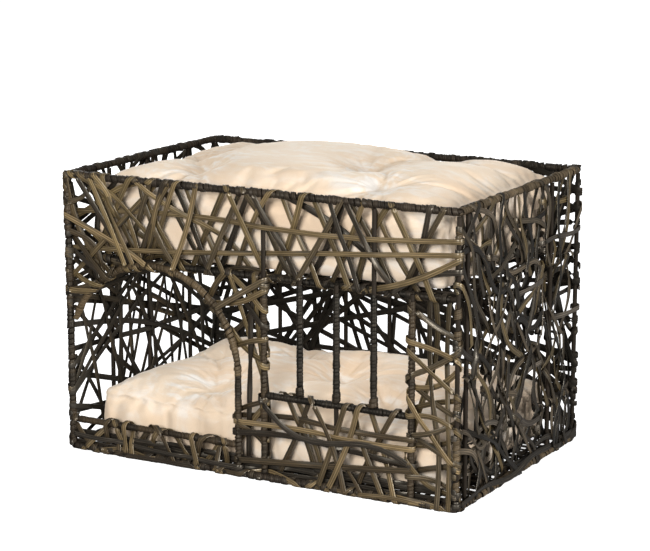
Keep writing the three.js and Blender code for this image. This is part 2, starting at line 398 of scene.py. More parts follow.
class Weaver:
    """Makes strands with one panel's habits and remembers them.

    bow, wave and curl bend a strip within the panel. wander and roll move it in and out and about itself,
    once in each beat. outer_share of the legs start on the outer face. slack is the most that a tight hook
    stands off its wire.
    """

    def __init__(self, seed, palette, bow=0.003, wave=0.0, curl=0.0, wander=0.0032, roll=0.18,
                 outer_share=0.6, step=STRIP_STEP, slack=0.0009, beat=0.038,
                 loose_hooks=LOOSE_HOOK_SHARE, area=None, hollow=None):
        self.random = np.random.default_rng(seed)
        self.palette, self.bow, self.wave, self.curl, self.wander = palette, bow, wave, curl, wander
        self.roll, self.outer_share, self.step, self.slack, self.beat = roll, outer_share, step, slack, beat
        self.loose_hooks, self.area, self.hollow = loose_hooks, area, hollow
        self.strands = []

    def colour(self):
        weights = np.array([weight for weight, _ in self.palette], float)
        tone = self.palette[self.random.choice(len(self.palette), p=weights / weights.sum())][1]
        return np.clip(linear(tone) * math.exp(self.random.normal() * TONE_SPREAD), 0, 1)

    def strand(self, contacts, piece, colour=None, bow=None, wave=None):
        """A strip that runs from rail to rail and hooks round each. contacts are (rail, place) pairs."""
        random = self.random
        bow = self.bow if bow is None else bow
        wave = self.wave if wave is None else wave
        places = [rail.at(place) for rail, place in contacts]
        bends = [self.waves(a[0], b[0], bow, wave) for a, b in zip(places, places[1:])]
        guess = [leg_path(a[0], b[0], bend, self.step) for a, b, bend in zip(places, places[1:], bends)]
        side = self.pick_side()
        face = 1.0
        rows, faces, loose = [], [], []
        for index, (rail, _) in enumerate(contacts):
            first, last = index == 0, index == len(contacts) - 1
            arriving = -guess[0][1] if first else guess[index - 1][2]
            leaving = -guess[-1][2] if last else guess[index][1]
            spare = random.random() * self.slack
            if random.random() < self.loose_hooks:
                spare = LOOSE_HOOK
            turns = (FIRST_HOOK_START if first else 0.0, LAST_HOOK_END if last else 1.0)
            got, looks, point = hook(rail, *places[index], arriving, leaving, side, spare, turns)
            rows.append(got)
            faces.append(looks * face)
            loose.append(np.zeros(len(got), bool))
            if last:
                break
            face = -face * side
            here = rail.depth - side * (rail.radius + STRIP_THICKNESS / 2 + spare)
            side = self.pick_side()
            face = face * side
            next_rail = contacts[index + 1][0]
            there = next_rail.depth + side * (next_rail.radius + STRIP_THICKNESS / 2)
            leg, looks = self.leg(point, places[index + 1][0], bends[index], here, there)
            rows.append(leg)
            faces.append(looks * face * side)
            loose.append(np.ones(len(leg), bool))
        width = STRIP_WIDTH * (1 + WIDTH_SPREAD * random.normal())
        tone = self.colour() if colour is None else colour
        rows, faces, loose = (np.concatenate(part) for part in (rows, faces, loose))
        self.strands.append(Strand(rows, faces, loose, piece, tone, width))

    def waves(self, start, end, bow, wave):
        """The half waves of one leg: a bow, a wave, and shorter curls where the leg is long."""
        curls = max(0, int(np.linalg.norm(end - start) / CURL_LENGTH) - 2)
        waves = self.random.normal(size=2 + curls) * np.array([bow, wave] + [self.curl] * curls)
        # They shrink until the strip keeps to its panel and out of the doorway.
        for share in (1.0, 0.6, 0.3, 0.0):
            path = leg_path(start, end, waves * share, 2 * self.step)[0]
            inside = self.area is None or ((path >= self.area[0]) & (path <= self.area[1])).all()
            if inside and not (self.hollow and self.hollow.covers(path)):
                break
        return waves * share

    def pick_side(self):
        return 1.0 if self.random.random() < self.outer_share else -1.0

    def leg(self, start, end, bend, here, there):
        """The free part of a strip between two hooks, which wanders in and out and rolls about itself."""
        random = self.random
        path = leg_path(start, end, bend, self.step)[0][1:-1]
        t = np.linspace(0, 1, len(path) + 2)[1:-1]
        knots = np.linspace(0, 1, max(3, int(len(path) * self.step / self.beat) + 2))
        fade = np.sin(math.pi * t)
        drift = np.interp(t, knots, random.normal(size=len(knots)) * self.wander) * fade
        roll = np.interp(t, knots, random.normal(size=len(knots)) * self.roll) * fade
        height = here + (there - here) * t * t * (3 - 2 * t) + drift
        tangent = unit(np.gradient(path, axis=0))
        lean = np.column_stack([-tangent[:, 1], tangent[:, 0]]) * np.sin(roll)[:, None]
        return np.column_stack([path, height]), np.column_stack([lean, np.cos(roll)])

    def zigzag(self, rails, span, advance, piece, spread, **bends):
        """A strip to and fro between two rails, which moves along the span by about advance each time."""
        turn = int(self.random.random() * 2)
        place = span[0] + self.random.random() * advance * min(1.0, 2 * spread)
        contacts = []
        while span[0] <= place <= span[1]:
            contacts.append((rails[turn], place))
            turn = 1 - turn
            place += advance * max(0.15, 1 + self.random.normal() * spread)
        if len(contacts) > 1:
            self.strand(contacts, piece, **bends)

    def scatter(self, rails, area, leans, count, piece, **bends):
        """Strips through random points of an area at random leans, each between its two nearest rails."""
        (left, low), (right, high) = area
        made = 0
        while made < count:
            point = np.array([self.random.uniform(left, right), self.random.uniform(low, high)])
            if self.hollow and self.hollow.covers(point):
                continue
            lean = math.radians(self.random.uniform(*leans))
            heading = np.array([math.cos(lean), math.sin(lean)])
            hits = [(distance, rail, place)
                    for rail in rails for distance, place in rail.meet(point, heading)]
            ahead = [hit for hit in hits if hit[0] > 0]
            behind = [hit for hit in hits if hit[0] < 0]
            if not ahead or not behind:
                continue
            first, second = max(behind, key=lambda hit: hit[0]), min(ahead, key=lambda hit: hit[0])
            made += 1
            if second[0] - first[0] > SHORTEST_LEG:
                self.strand([first[1:], second[1:]], piece, **bends)

    def between(self, first, second, piece, colour=None, jitter=0.004, **bends):
        """A strip with a hook at each of two places, given as (rail, place)."""
        ends = [(rail, place + self.random.normal() * jitter) for rail, place in (first, second)]
        self.strand(ends, piece, colour, **bends)


def linear(colour):
    """A linear colour from a screen colour in 0..255."""
    share = np.array(colour, float) / 255
    return np.where(share <= 0.04045, share / 12.92, ((share + 0.055) / 1.055) ** 2.4)


# ---------------------------------------------------------------- settling strips over and under each other

def crossings(rows, starts, owner):
    """Pairs of steps of strip that cross in the plane, and how far along each step they cross."""
    a, b = rows[starts, :2], rows[starts + 1, :2]
    centre = (a + b) / 2
    reach = float(np.linalg.norm(b - a, axis=1).max())
    order = np.argsort(centre[:, 0])
    sorted_across = centre[order, 0]
    found = []
    for low in range(0, len(order), CROSSING_BATCH):
        high = min(low + CROSSING_BATCH, len(order))
        end = int(np.searchsorted(sorted_across, sorted_across[high - 1] + reach, side="right"))
        i, j = np.meshgrid(np.arange(low, high), np.arange(low, end), indexing="ij")
        keep = j > i
        i, j = order[i[keep]], order[j[keep]]
        near = np.abs(centre[i, 1] - centre[j, 1]) < reach
        near &= (owner[i] != owner[j]) | (np.abs(starts[i] - starts[j]) > NEIGHBOUR_STEPS)
        i, j = i[near], j[near]
        p, r, q, s = a[i], b[i] - a[i], a[j], b[j] - a[j]
        cross = r[:, 0] * s[:, 1] - r[:, 1] * s[:, 0]
        cross = np.where(np.abs(cross) < 1e-12, 1e-12, cross)
        gap = q - p
        t = (gap[:, 0] * s[:, 1] - gap[:, 1] * s[:, 0]) / cross
        v = (gap[:, 0] * r[:, 1] - gap[:, 1] * r[:, 0]) / cross
        hit = (t >= 0) & (t < 1) & (v >= 0) & (v < 1)
        found.append(np.column_stack([starts[i][hit], starts[j][hit], t[hit], v[hit]]))
    return np.concatenate(found)


def wire_contacts(rows, loose, owner, wires):
    """Which rows lie over a wire, on which side of it, its depth and the room they need."""
    row, side, depth, room = [], [], [], []
    for start, end, radius, level in wires:
        run = np.array(end) - np.array(start)
        length = float(np.linalg.norm(run))
        run = run / length
        off = (rows[:, 0] - start[0]) * run[1] - (rows[:, 1] - start[1]) * run[0]
        along = (rows[:, 0] - start[0]) * run[0] + (rows[:, 1] - start[1]) * run[1]
        beside = (along > -WIRE_OVERHANG) & (along < length + WIRE_OVERHANG)
        near = np.nonzero(loose & beside & (np.abs(off) < radius + WIRE_REACH))[0]
        if not len(near):
            continue
        # Rows of one strip that follow each other keep to the side of the wire that its nearest row is on.
        breaks = (np.diff(near) > 1) | (np.diff(owner[near]) != 0)
        groups = np.split(near, np.nonzero(breaks)[0] + 1)
        for group in groups:
            closest = group[np.argmin(np.abs(off[group]))]
            row.append(group)
            side.append(np.full(len(group), 1.0 if rows[closest, 2] >= level else -1.0))
            depth.append(np.full(len(group), level))
            room.append(np.full(len(group), radius + STRIP_THICKNESS / 2))
    if not row:
        return None
    return tuple(np.concatenate(part) for part in (row, side, depth, room))


def settle(strands, wires, limits):
    """Moves strips in and out until each crossing has room for both strips, and keeps them smooth."""
    rows = np.concatenate([strand.rows for strand in strands])
    loose = np.concatenate([strand.loose for strand in strands])
    owner = np.concatenate([np.full(len(strand.rows), k) for k, strand in enumerate(strands)])
    joined = owner[:-1] == owner[1:]
    starts = np.nonzero(joined & (loose[:-1] | loose[1:]))[0]
    pairs = crossings(rows, starts, owner[starts])
    i, j, t, v = pairs[:, 0].astype(int), pairs[:, 1].astype(int), pairs[:, 2], pairs[:, 3]
    out = rows[:, 2].copy()
    over = np.where(out[i] * (1 - t) + out[i + 1] * t >= out[j] * (1 - v) + out[j + 1] * v, 1.0, -1.0)
    held = wire_contacts(rows, loose, owner, wires)
    inner = np.nonzero(loose[1:-1] & joined[:-1] & joined[1:])[0] + 1
    corners = ((i, 1 - t, 1.0), (i + 1, t, 1.0), (j, 1 - v, -1.0), (j + 1, v, -1.0))
    for turn in range(SETTLING_ROUNDS):
        gentle = SETTLING_STIFFNESS * (1 - 0.75 * turn / SETTLING_ROUNDS)
        out[inner] += gentle * (out[inner - 1] + out[inner + 1] - 2 * out[inner])
        apart = over * (out[i] * (1 - t) + out[i + 1] * t - out[j] * (1 - v) - out[j + 1] * v)
        lack = np.maximum(CROSSING_ROOM - apart, 0)
        move, hits = np.zeros(len(out)), np.zeros(len(out))
        for row, share, sign in corners:
            np.add.at(move, row, sign * over * lack * 0.5 * (0.5 + share))
            np.add.at(hits, row, (lack > 0) * 1.0)
        out += np.where(loose, 1.3 * move / np.maximum(hits, 1.0), 0.0)
        out = np.where(loose, np.clip(out, *limits), out)
        if held is not None:
            row, side, depth, room = held
            out[row] = depth + side * np.maximum((out[row] - depth) * side, room)
    place = 0
    for strand in strands:
        strand.rows[:, 2] = out[place:place + len(strand.rows)]
        place += len(strand.rows)


class Panel:
    """A flat wall, shelf or floor, with its own across, up and out directions in the row frame."""

    def __init__(self, origin, across, up, out, limits=(-0.016, 0.009)):
        self.origin = np.array(origin, float)
        self.axes = np.array([across, up, out], float)
        self.limits = limits

    def build(self, strands, wires, material, slot):
        """Settles the strands and makes one piece for each part of the weave that they belong to."""
        settle(strands, wires, self.limits)
        meshes = {}
        for number, strand in enumerate(strands):
            target = meshes.setdefault(strand.piece, StripMesh())
            # Painted shade: a strip is darkened where it runs deep in the weave.
            depth = np.clip(-strand.rows[:, 2] / DEEP_IN_WEAVE, 0, 1)
            colour = strand.colour * (1 - DEEP_PAINTED_SHADE * depth)[:, None, None]
            target.add(self.origin + strand.rows @ self.axes, strand.faces @ self.axes, colour,
                       strand.width, outward=self.axes[2], seed=number * 0.37)
        for name, mesh in meshes.items():
            mesh.build(f"{name}_strips", material, slot, [f"{name}_weave"])


# ---------------------------------------------------------------- wound bindings and wires

def smooth_noise(random, count, spacing, size):
    knots = random.normal(size=max(3, int(count / spacing) + 3)) * size
    return np.interp(np.arange(count), np.arange(len(knots)) * spacing, knots)


def along_path(path, distances):
    lengths = arc_lengths(path)
    return np.column_stack([np.interp(distances, lengths, path[:, axis]) for axis in range(3)])


def wind(mesh, path, random, palette, wire_radius=WIRE_RADIUS, pitch=WINDING_PITCH, rough=1.0):
    """Winds one strip in a helix round a line of points, each turn lapping a little over the one before."""
    total = arc_lengths(path)[-1]
    turns = total / pitch
    count = int(turns * ROWS_PER_TURN)
    uneven = np.cumsum(1 + np.clip(smooth_noise(random, count, ROWS_PER_TURN, 0.22 * rough), -0.6, 0.6))
    along = (uneven - uneven[0]) / (uneven[-1] - uneven[0]) * total
    centre = along_path(path, along)
    lengths = arc_lengths(path)
    tangent = unit(np.gradient(path, axis=0))
    direction = unit(np.column_stack([np.interp(along, lengths, tangent[:, axis]) for axis in range(3)]))
    side = unit(np.cross(direction, np.array([0.31, 0.83, 0.47])))
    lift = np.cross(direction, side)
    angle = 2 * math.pi * turns * np.linspace(0, 1, count) + random.random() * 6
    radial = side * np.cos(angle)[:, None] + lift * np.sin(angle)[:, None]
    bump = np.clip(smooth_noise(random, count, ROWS_PER_TURN * 1.3, 0.0004 * rough), -0.0002, 0.0012)
    radius = wire_radius + STRIP_THICKNESS * 0.7 + bump
    lean = math.radians(5) + smooth_noise(random, count, ROWS_PER_TURN, math.radians(4) * rough)
    normal = radial * np.cos(lean)[:, None] + direction * np.sin(lean)[:, None]
    tones = np.array([linear(tone) for tone in palette])
    mix = np.clip(0.5 + smooth_noise(random, count, ROWS_PER_TURN * 3, 0.5), 0, 1)[:, None, None]
    colour = tones[0] * (1 - mix) + tones[1] * mix
    mesh.add(centre + radial * radius[:, None], normal, colour, pitch * WINDING_LAP,
             seed=random.random() * 9, profile=PULLED)


def line_points(start, end):
    start, end = np.array(start, float), np.array(end, float)
    count = max(2, int(np.linalg.norm(end - start) / LINE_STEP))
    return start + (end - start) * np.linspace(0, 1, count + 1)[:, None]


def rim_loop(level):
    """The closed centre line of a rim with bent corners, from the back right corner round by the left."""
    corners = [(RIGHT_X, BACK_Y), (LEFT_X, BACK_Y), (LEFT_X, FRONT_Y), (RIGHT_X, FRONT_Y)]
    points = []
    for index, (x, y) in enumerate(corners):
        inner_x, inner_y = x - math.copysign(RIM_CORNER, x), y - math.copysign(RIM_CORNER, y)
        for angle in np.linspace(0, math.pi / 2, 9) + math.pi / 2 * index:
            bend_x, bend_y = RIM_CORNER * math.cos(angle), RIM_CORNER * math.sin(angle)
            points.append((inner_x + bend_x, inner_y + bend_y, level))
    points = np.array(points + points[:1])
    length = arc_lengths(points)[-1]
    return along_path(points, np.linspace(0, length, int(length / RIM_STEP)))


def arch_line():
    angles = np.linspace(0, ARCH_FOOT, 120)
    across, up = ARCH_X + ARCH_RADIUS * np.cos(angles), SPRING_Z + ARCH_RADIUS * np.sin(angles)
    return np.column_stack([across, np.full(len(angles), FRONT_Y), up])


def wire_piece(name, path, replaced):
    """A round wire bent along a closed line of points."""
    ring = 12
    tangent = unit(np.roll(path, -1, axis=0) - np.roll(path, 1, axis=0))
    side = unit(np.cross(tangent, np.array([0.0, 0.0, 1.0])))
    lift = np.cross(side, tangent)
    angle = np.linspace(0, 2 * math.pi, ring, endpoint=False)
    offset = side[:, None, :] * np.cos(angle)[None, :, None] + lift[:, None, :] * np.sin(angle)[None, :, None]
    points = (path[:, None, :] + WIRE_RADIUS * offset).reshape(-1, 3)
    sides, _ = tube_faces(len(path) + 1, ring)
    mesh = mesh_from(name, points, [(sides % len(points))[:, ::-1]])
    add_piece(name, mesh, wire_look, replaced=replaced)


# ---------------------------------------------------------------- materials

class Nodes:
    """A small helper that adds and joins shader nodes."""

    def __init__(self, name):
        self.material = bpy.data.materials.new(name)
        self.material.use_nodes = True
        self.tree = self.material.node_tree
        self.shader = self.tree.nodes["Principled BSDF"]

    def add(self, kind, **settings):
        node = self.tree.nodes.new(kind)
        for key, value in settings.items():
            setattr(node, key, value)
        return node

    def feed(self, socket, value):
        """Gives a socket a number or a colour, or joins it to another node's output."""
        if isinstance(value, (int, float, tuple)):
            socket.default_value = value
        else:
            self.tree.links.new(value, socket)

    def surface(self, **values):
        """Sets the surface's own sockets, whose names are written with _ for a space."""
        for name, value in values.items():
            self.feed(self.shader.inputs[name.replace("_", " ")], value)

    def math(self, operation, a, b):
        node = self.add("ShaderNodeMath", operation=operation)
        self.feed(node.inputs[0], a)
        self.feed(node.inputs[1], b)
        return node.outputs[0]

    def fit(self, value, low, high, to_low, to_high):
        node = self.add("ShaderNodeMapRange")
        self.feed(node.inputs["Value"], value)
        for key, number in (("From Min", low), ("From Max", high), ("To Min", to_low), ("To Max", to_high)):
            node.inputs[key].default_value = number
        return node.outputs[0]

    def attribute(self, name, output="Fac"):
        return self.add("ShaderNodeAttribute", attribute_name=name).outputs[output]

    def noise(self, vector, scale, detail=3.0, roughness=0.55, output="Fac"):
        node = self.add("ShaderNodeTexNoise")
        self.feed(node.inputs["Vector"], vector)
        node.inputs["Scale"].default_value = scale
        node.inputs["Detail"].default_value = detail
        node.inputs["Roughness"].default_value = roughness
        return node.outputs[output]

    def scaled(self, vector, factors):
        node = self.add("ShaderNodeVectorMath", operation="MULTIPLY")
        self.feed(node.inputs[0], vector)
        node.inputs[1].default_value = factors
        return node.outputs[0]

    def tinted(self, colour, factor):
        """A colour times a number."""
        node = self.add("ShaderNodeVectorMath", operation="SCALE")
        self.feed(node.inputs[0], colour)
        self.feed(node.inputs["Scale"], factor)
        return node.outputs[0]

    def mix(self, factor, a, b):
        node = self.add("ShaderNodeMix", data_type="RGBA")
        self.feed(node.inputs["Factor"], factor)
        self.feed(node.inputs[6], a)
        self.feed(node.inputs[7], b)
        return node.outputs[2]

    def bump(self, height, strength, distance):
        node = self.add("ShaderNodeBump")
        node.inputs["Strength"].default_value = strength
        node.inputs["Distance"].default_value = distance
        self.feed(node.inputs["Height"], height)
        self.surface(Normal=node.outputs["Normal"])

    def swirled(self, vector, scale, amount):
        """Places pushed about by a slow noise, so that streaks bend."""
        node = self.add("ShaderNodeVectorMath", operation="MULTIPLY_ADD")
        self.feed(node.inputs[0], self.noise(vector, scale, 2.0, 0.5, "Color"))
        node.inputs[1].default_value = (amount, amount, amount)
        self.feed(node.inputs[2], vector)
        return node.outputs[0]

    def position(self):
        return self.add("ShaderNodeTexCoord").outputs["Object"]


def strip_material(name, inner_shade, roughness, gloss):
    """Ribbed plastic cane: streaks along the strip, painted shade in the dark grooves and a painted highlight
    on the ribs with paler worn crests, and painted shade on the inner face.
    """
    m = Nodes(name)
    colour, ribs = m.attribute("strip_colour", "Color"), m.attribute("strip_colour", "Alpha")
    flow = m.attribute("strip_flow", "Vector")
    outward = m.attribute("outward")
    streaks = m.noise(m.scaled(flow, (1500.0, 40.0, 1.0)), 1.0, 4.0)
    patches = m.noise(m.scaled(flow, (60.0, 18.0, 1.0)), 1.0, 2.0)
    # Painted shade in the grooves and at the edges, and a painted highlight on the ribs.
    shade = m.fit(ribs, 0.25, 1.0, 0.10, 1.05)
    # The last factor is painted shade on the inner face.
    for factor in (m.fit(streaks, 0.3, 0.7, 0.74, 1.28), m.fit(patches, 0.3, 0.7, 0.72, 1.30),
                   m.fit(outward, 0.0, 1.0, inner_shade, 1.0)):
        shade = m.math("MULTIPLY", shade, factor)
    worn = m.math("MULTIPLY", m.fit(ribs, 0.86, 1.0, 0.0, 1.0), m.fit(streaks, 0.52, 0.7, 0.0, 0.35))
    dull = m.fit(outward, 0.0, 1.0, 0.45, 0.0)
    uneven = m.fit(streaks, 0.3, 0.7, roughness - 0.06, roughness + 0.12)
    m.surface(Base_Color=m.tinted(m.mix(worn, colour, WORN_RIB), shade),
              Roughness=m.math("ADD", dull, uneven),
              Specular_IOR_Level=gloss, Specular_Tint=(1.0, 0.90, 0.74, 1.0))
    m.bump(streaks, 0.35, 0.0004)
    return m.material


def wire_material():
    """Dark brown painted steel with an orange-peel coat."""
    m = Nodes("painted_wire")
    place = m.position()
    grain = m.noise(place, 900.0)
    cloud = m.noise(place, 30.0)
    paint = m.mix(m.fit(cloud, 0.3, 0.7, 0.0, 1.0), (0.009, 0.007, 0.005, 1.0), (0.020, 0.015, 0.011, 1.0))
    m.surface(Base_Color=paint, Roughness=m.fit(grain, 0.3, 0.7, 0.46, 0.62),
              Specular_IOR_Level=0.2, Specular_Tint=(1.0, 0.85, 0.70, 1.0))
    m.bump(grain, 0.2, 0.0003)
    return m.material


def plush_material():
    """Short velvet pile: cream with brushed whitish streaks, partly the pile's brushing and partly its
    painted sheen, and painted shade, in tan, where the cloth folds in.
    """
    m = Nodes("cream_plush")
    place = m.position()
    warp = m.noise(m.scaled(place, (9.0, 14.0, 14.0)), 1.0, 3.0)
    brushed = m.noise(m.scaled(m.swirled(place, 7.0, 0.16), (20.0, 64.0, 60.0)), 1.0, 4.0, 0.6)
    pile = m.noise(place, 1500.0, 2.0)
    base = m.mix(m.fit(warp, 0.35, 0.65, 0.0, 1.0), PLUSH_CREAM, PLUSH_LIGHT)
    tuft = m.math("MULTIPLY", m.attribute("near_tuft"), 0.9)
    reach = m.math("ADD", m.fit(warp, 0.42, 0.62, 0.0, 0.7), tuft)
    # Brushed pile streaks, painted paler as the pile's sheen, most near the tufts.
    base = m.mix(m.math("MULTIPLY", m.fit(brushed, 0.46, 0.62, 0.0, 0.85), reach), base, PLUSH_BRUSHED_SHEEN)
    # Painted shade where the cloth folds in.
    base = m.mix(m.fit(m.attribute("fold"), 0.15, 1.0, 0.0, 0.7), base, PLUSH_FOLD_SHADE)
    m.surface(Base_Color=m.tinted(base, m.fit(pile, 0.3, 0.7, 0.94, 1.05)),
              Roughness=0.9, Specular_IOR_Level=0.15,
              Sheen_Weight=0.35, Sheen_Roughness=0.4, Sheen_Tint=(1.0, 0.95, 0.86, 1.0))
    m.bump(pile, 0.35, 0.0005)
    return m.material


def floor_material():
    m = Nodes("pale_floor")
    grain = m.noise(m.position(), 4.0)
    m.surface(Base_Color=m.mix(grain, (0.86, 0.86, 0.86, 1.0), (0.88, 0.88, 0.88, 1.0)), Roughness=0.9,
              Specular_IOR_Level=0.0, Emission_Color=(1.0, 1.0, 1.0, 1.0), Emission_Strength=0.86)
    return m.material


# Strip colours as they look in daylight, with how often each comes.
OLIVE = [(6, (132, 112, 76)), (5, (116, 98, 68)), (2, (154, 132, 94)), (3, (90, 77, 57)), (1, (56, 48, 39))]
BROWN = [(4, (100, 84, 59)), (4, (76, 63, 45)), (3, (128, 108, 76)), (4, (46, 38, 30))]
MIXED = [(4, (78, 68, 53)), (3, (108, 92, 63)), (4, (46, 40, 33)), (3, (98, 86, 70)), (5, (24, 21, 18))]
GREY = [(3, (108, 99, 88)), (2, (80, 72, 63))]
# DARK is darkened as painted shade: it colours the back wall, the shelf, the floor and part of the left wall,
# which lie in the basket's shade.
DARK = [(3, (52, 44, 36)), (2, (40, 34, 29)), (1, (64, 54, 42))]
DARK_STRIP = linear((56, 50, 43))
DARKER_STRIP = linear((40, 35, 29))
PALE_STRIP = linear((126, 107, 75))

# The two tones that each winding changes between.
RIM_TONES = ((34, 29, 25), (58, 49, 40))
ARCH_TONES = ((98, 82, 60), (66, 55, 41))
END_RIM_TONES = ((74, 63, 48), (112, 96, 74))
POST_TONES = ((30, 25, 20), (66, 54, 40))
BAR_TONES = ((12, 11, 10), (34, 29, 24))

# Linear colours that the materials mix.
WORN_RIB = (0.34, 0.27, 0.18, 1.0)
PLUSH_CREAM = (0.65, 0.495, 0.35, 1.0)
PLUSH_LIGHT = (0.69, 0.565, 0.43, 1.0)
# The next two are painted sheen on the brushed pile, and painted shade in the folds.
PLUSH_BRUSHED_SHEEN = (0.71, 0.665, 0.61, 1.0)
PLUSH_FOLD_SHADE = (0.50, 0.36, 0.225, 1.0)

wire_look = wire_material()
cane_look = strip_material("woven_cane", inner_shade=0.12, roughness=0.26, gloss=0.75)
# A darker copy of the cane, as painted shade, for the back wall, the shelf and the floor.
shadow_cane_look = strip_material("dark_woven_cane", inner_shade=0.14, roughness=0.42, gloss=0.4)
bound_cane_look = strip_material("bound_cane", inner_shade=1.0, roughness=0.46, gloss=0.28)
plush_look = plush_material()

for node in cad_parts.values():
    node.data.materials.clear()
    node.data.materials.append(wire_look)

# ---------------------------------------------------------------- the woven walls


def level_rails(left, right, inset=0.0):
    """The base rim, the shelf rail and the top rim of a wall that runs from left to right."""
    base = Rail((left, BASE_Z), (right, BASE_Z), BASE_HOOK_RADIUS)
    shelf = Rail((left + inset, SHELF_Z), (right - inset, SHELF_Z), WIRE_RADIUS, -SHELF_INSET)
    top = Rail((left, TOP_Z), (right, TOP_Z), WIRE_RADIUS)
    return base, shelf, top


def upright(across, low=BASE_Z, high=TOP_Z, radius=WALL_WIRE):
    return Rail((across, low), (across, high), radius)


def weave_front():
    panel = Panel((0, FRONT_Y, 0), (1, 0, 0), (0, 0, 1), (0, -1, 0))
    base, shelf, top = level_rails(LEFT_X, RIGHT_X, SHELF_INSET)
    left, right = upright(LEFT_X, radius=WIRE_RADIUS), upright(RIGHT_X)
    jamb = upright(JAMB_X, BASE_Z, SPRING_Z, BOUND_RADIUS)
    arch = Arch((ARCH_X, SPRING_Z), ARCH_RADIUS, 0.0, ARCH_FOOT, BOUND_RADIUS)
    door_sill = Rail((LEFT_X, DOOR_SILL_Z), (JAMB_X, DOOR_SILL_Z), BOUND_RADIUS)
    post_left = upright(POST_LEFT_X, BASE_Z, SHELF_Z, BOUND_RADIUS)
    post_right = upright(POST_RIGHT_X, BASE_Z, SHELF_Z, BOUND_RADIUS)
    sill = Rail((POST_LEFT_X, SILL_Z), (POST_RIGHT_X, SILL_Z), BOUND_RADIUS)
    area = ((LEFT_X, BASE_Z), (RIGHT_X, TOP_Z))
    weaver = Weaver(11, OLIVE, loose_hooks=FRONT_HOOK_SHARE, area=area, hollow=arch)

    # Over the shelf: strips that cross as a lattice, pale ones along it, and a few dark ones over them.
    for start in (0.006, 0.026, 0.046, 0.064):
        weaver.zigzag((top, shelf), (LEFT_X + start, RIGHT_X - 0.01), 0.066, "front_upper", 0.14)
    for level, rise in ((0.328, 0.012), (0.284, 0.046)):
        weaver.between((left, level), (right, level + rise), "front_upper", PALE_STRIP, bow=0.004, wave=0.007)
    weaver.between((shelf, 0.16), (right, 0.313), "front_upper", PALE_STRIP, bow=0.006)
    over_shelf = ((LEFT_X, SHELF_Z), (ARCH_X + 0.10, TOP_Z))
    weaver.scatter((left, top, shelf), over_shelf, (100, 165), 6, "front_upper", bow=0.012, wave=0.006)
    weaver.scatter((left, top, shelf), over_shelf, (25, 75), 3, "front_upper", bow=0.010, wave=0.006)
    weaver.between((shelf, 0.185), (right, 0.302), "front_upper", DARK_STRIP, bow=0.005)
    weaver.between((top, 0.03), (shelf, 0.20), "front_upper", DARK_STRIP, bow=0.015)
    weaver.between((top, 0.11), (shelf, 0.15), "front_upper", DARK_STRIP, bow=0.004)

    # Round the arch: strips sweep down from the rim and the corner post, and hook round the arch.
    weaver.palette, weaver.bow = BROWN + OLIVE, 0.010
    over_arch = ((LEFT_X, ARCH_SHOULDER), (ARCH_X + 0.07, TOP_Z))
    weaver.scatter((left, top, arch), over_arch, (100, 160), 8, "front_arch")
    weaver.scatter((left, top, arch), over_arch, (25, 85), 4, "front_arch", bow=0.005)
    beside_arch = ((ARCH_X, SPRING_Z + 0.02), (POST_LEFT_X, SHELF_Z))
    weaver.scatter((arch, shelf, post_left), beside_arch, (-70, 110), 13, "front_arch", bow=0.004)
    before_arch = ((LEFT_X, SPRING_Z + 0.05), (ARCH_X, SHELF_Z))
    weaver.scatter((arch, left), before_arch, (-50, 50), 7, "front_arch", bow=0.004)
    for _ in range(6):
        across = weaver.random.uniform(LEFT_X + 0.03, RIGHT_X - 0.12)
        reach = weaver.random.uniform(0.05, 0.10)
        weaver.between((shelf, across), (shelf, across + reach), "front_arch", bow=0.010)

    # Between the doorway and the window, and below and beside the window.
    weaver.palette, weaver.bow = BROWN, 0.003
    for _ in range(2):
        weaver.zigzag((jamb, post_left), (BASE_Z + 0.01, SPRING_Z - 0.004), 0.038, "front_centre", 0.5)
    for _ in range(2):
        across = weaver.random.uniform(JAMB_X + 0.003, POST_LEFT_X - 0.003)
        weaver.between((shelf, across + weaver.random.normal() * 0.01), (base, across), "front_centre",
                       bow=0.005, wave=0.006)
    for start in (0.004, 0.022, 0.040):
        weaver.zigzag((sill, base), (POST_LEFT_X + start, POST_RIGHT_X - 0.004), 0.050, "front_lower", 0.18)
    for level, drop in ((0.087, -0.004), (0.070, 0.0), (0.060, -0.012), (0.030, 0.014)):
        weaver.between((jamb, level), (post_right, level + drop), "front_lower", bow=0.004, wave=0.006)
    weaver.between((post_left, 0.112), (post_right, 0.060), "front_lower", DARK_STRIP, bow=0.006, wave=0.008)
    weaver.palette = OLIVE + BROWN
    for _ in range(3):
        weaver.zigzag((post_right, right), (BASE_Z + 0.01, SHELF_Z - 0.01), 0.042, "front_right", 0.5,
                      bow=0.005)
    for _ in range(3):
        across = weaver.random.uniform(POST_RIGHT_X + 0.004, RIGHT_X - 0.004)
        weaver.between((shelf, across), (base, across + weaver.random.normal() * 0.012), "front_right",
                       bow=0.006, wave=0.008)

    # Below the doorway, and along the base.
    weaver.palette = BROWN
    for _ in range(2):
        weaver.zigzag((door_sill, base), (LEFT_X + 0.005, JAMB_X - 0.005), 0.034, "door_apron", 0.5)
    weaver.between((left, 0.022), (jamb, 0.020), "door_apron", DARK_STRIP, bow=0.005, wave=0.006)
    for level in BASE_STRIP_LEVELS:
        weaver.between((left, level), (right, level), "front_lower", DARK_STRIP, bow=0.003, wave=0.003)
    for _ in range(18):
        across = weaver.random.uniform(LEFT_X + 0.01, RIGHT_X - 0.12)
        reach = weaver.random.uniform(0.05, 0.11)
        weaver.between((base, across), (base, across + reach), "front_lower", bow=0.014)

    wires = [piece for rail in (shelf, jamb, arch, door_sill, sill) for piece in rail.pieces()]
    wires += upright(POST_LEFT_X).pieces() + upright(BAR_X[2], SHELF_Z, TOP_Z).pieces() + post_left.pieces()
    wires += post_right.pieces() + upright(FOOT_X, BASE_Z, SILL_Z).pieces()
    panel.build(weaver.strands, wires, cane_look, "woven_strip")


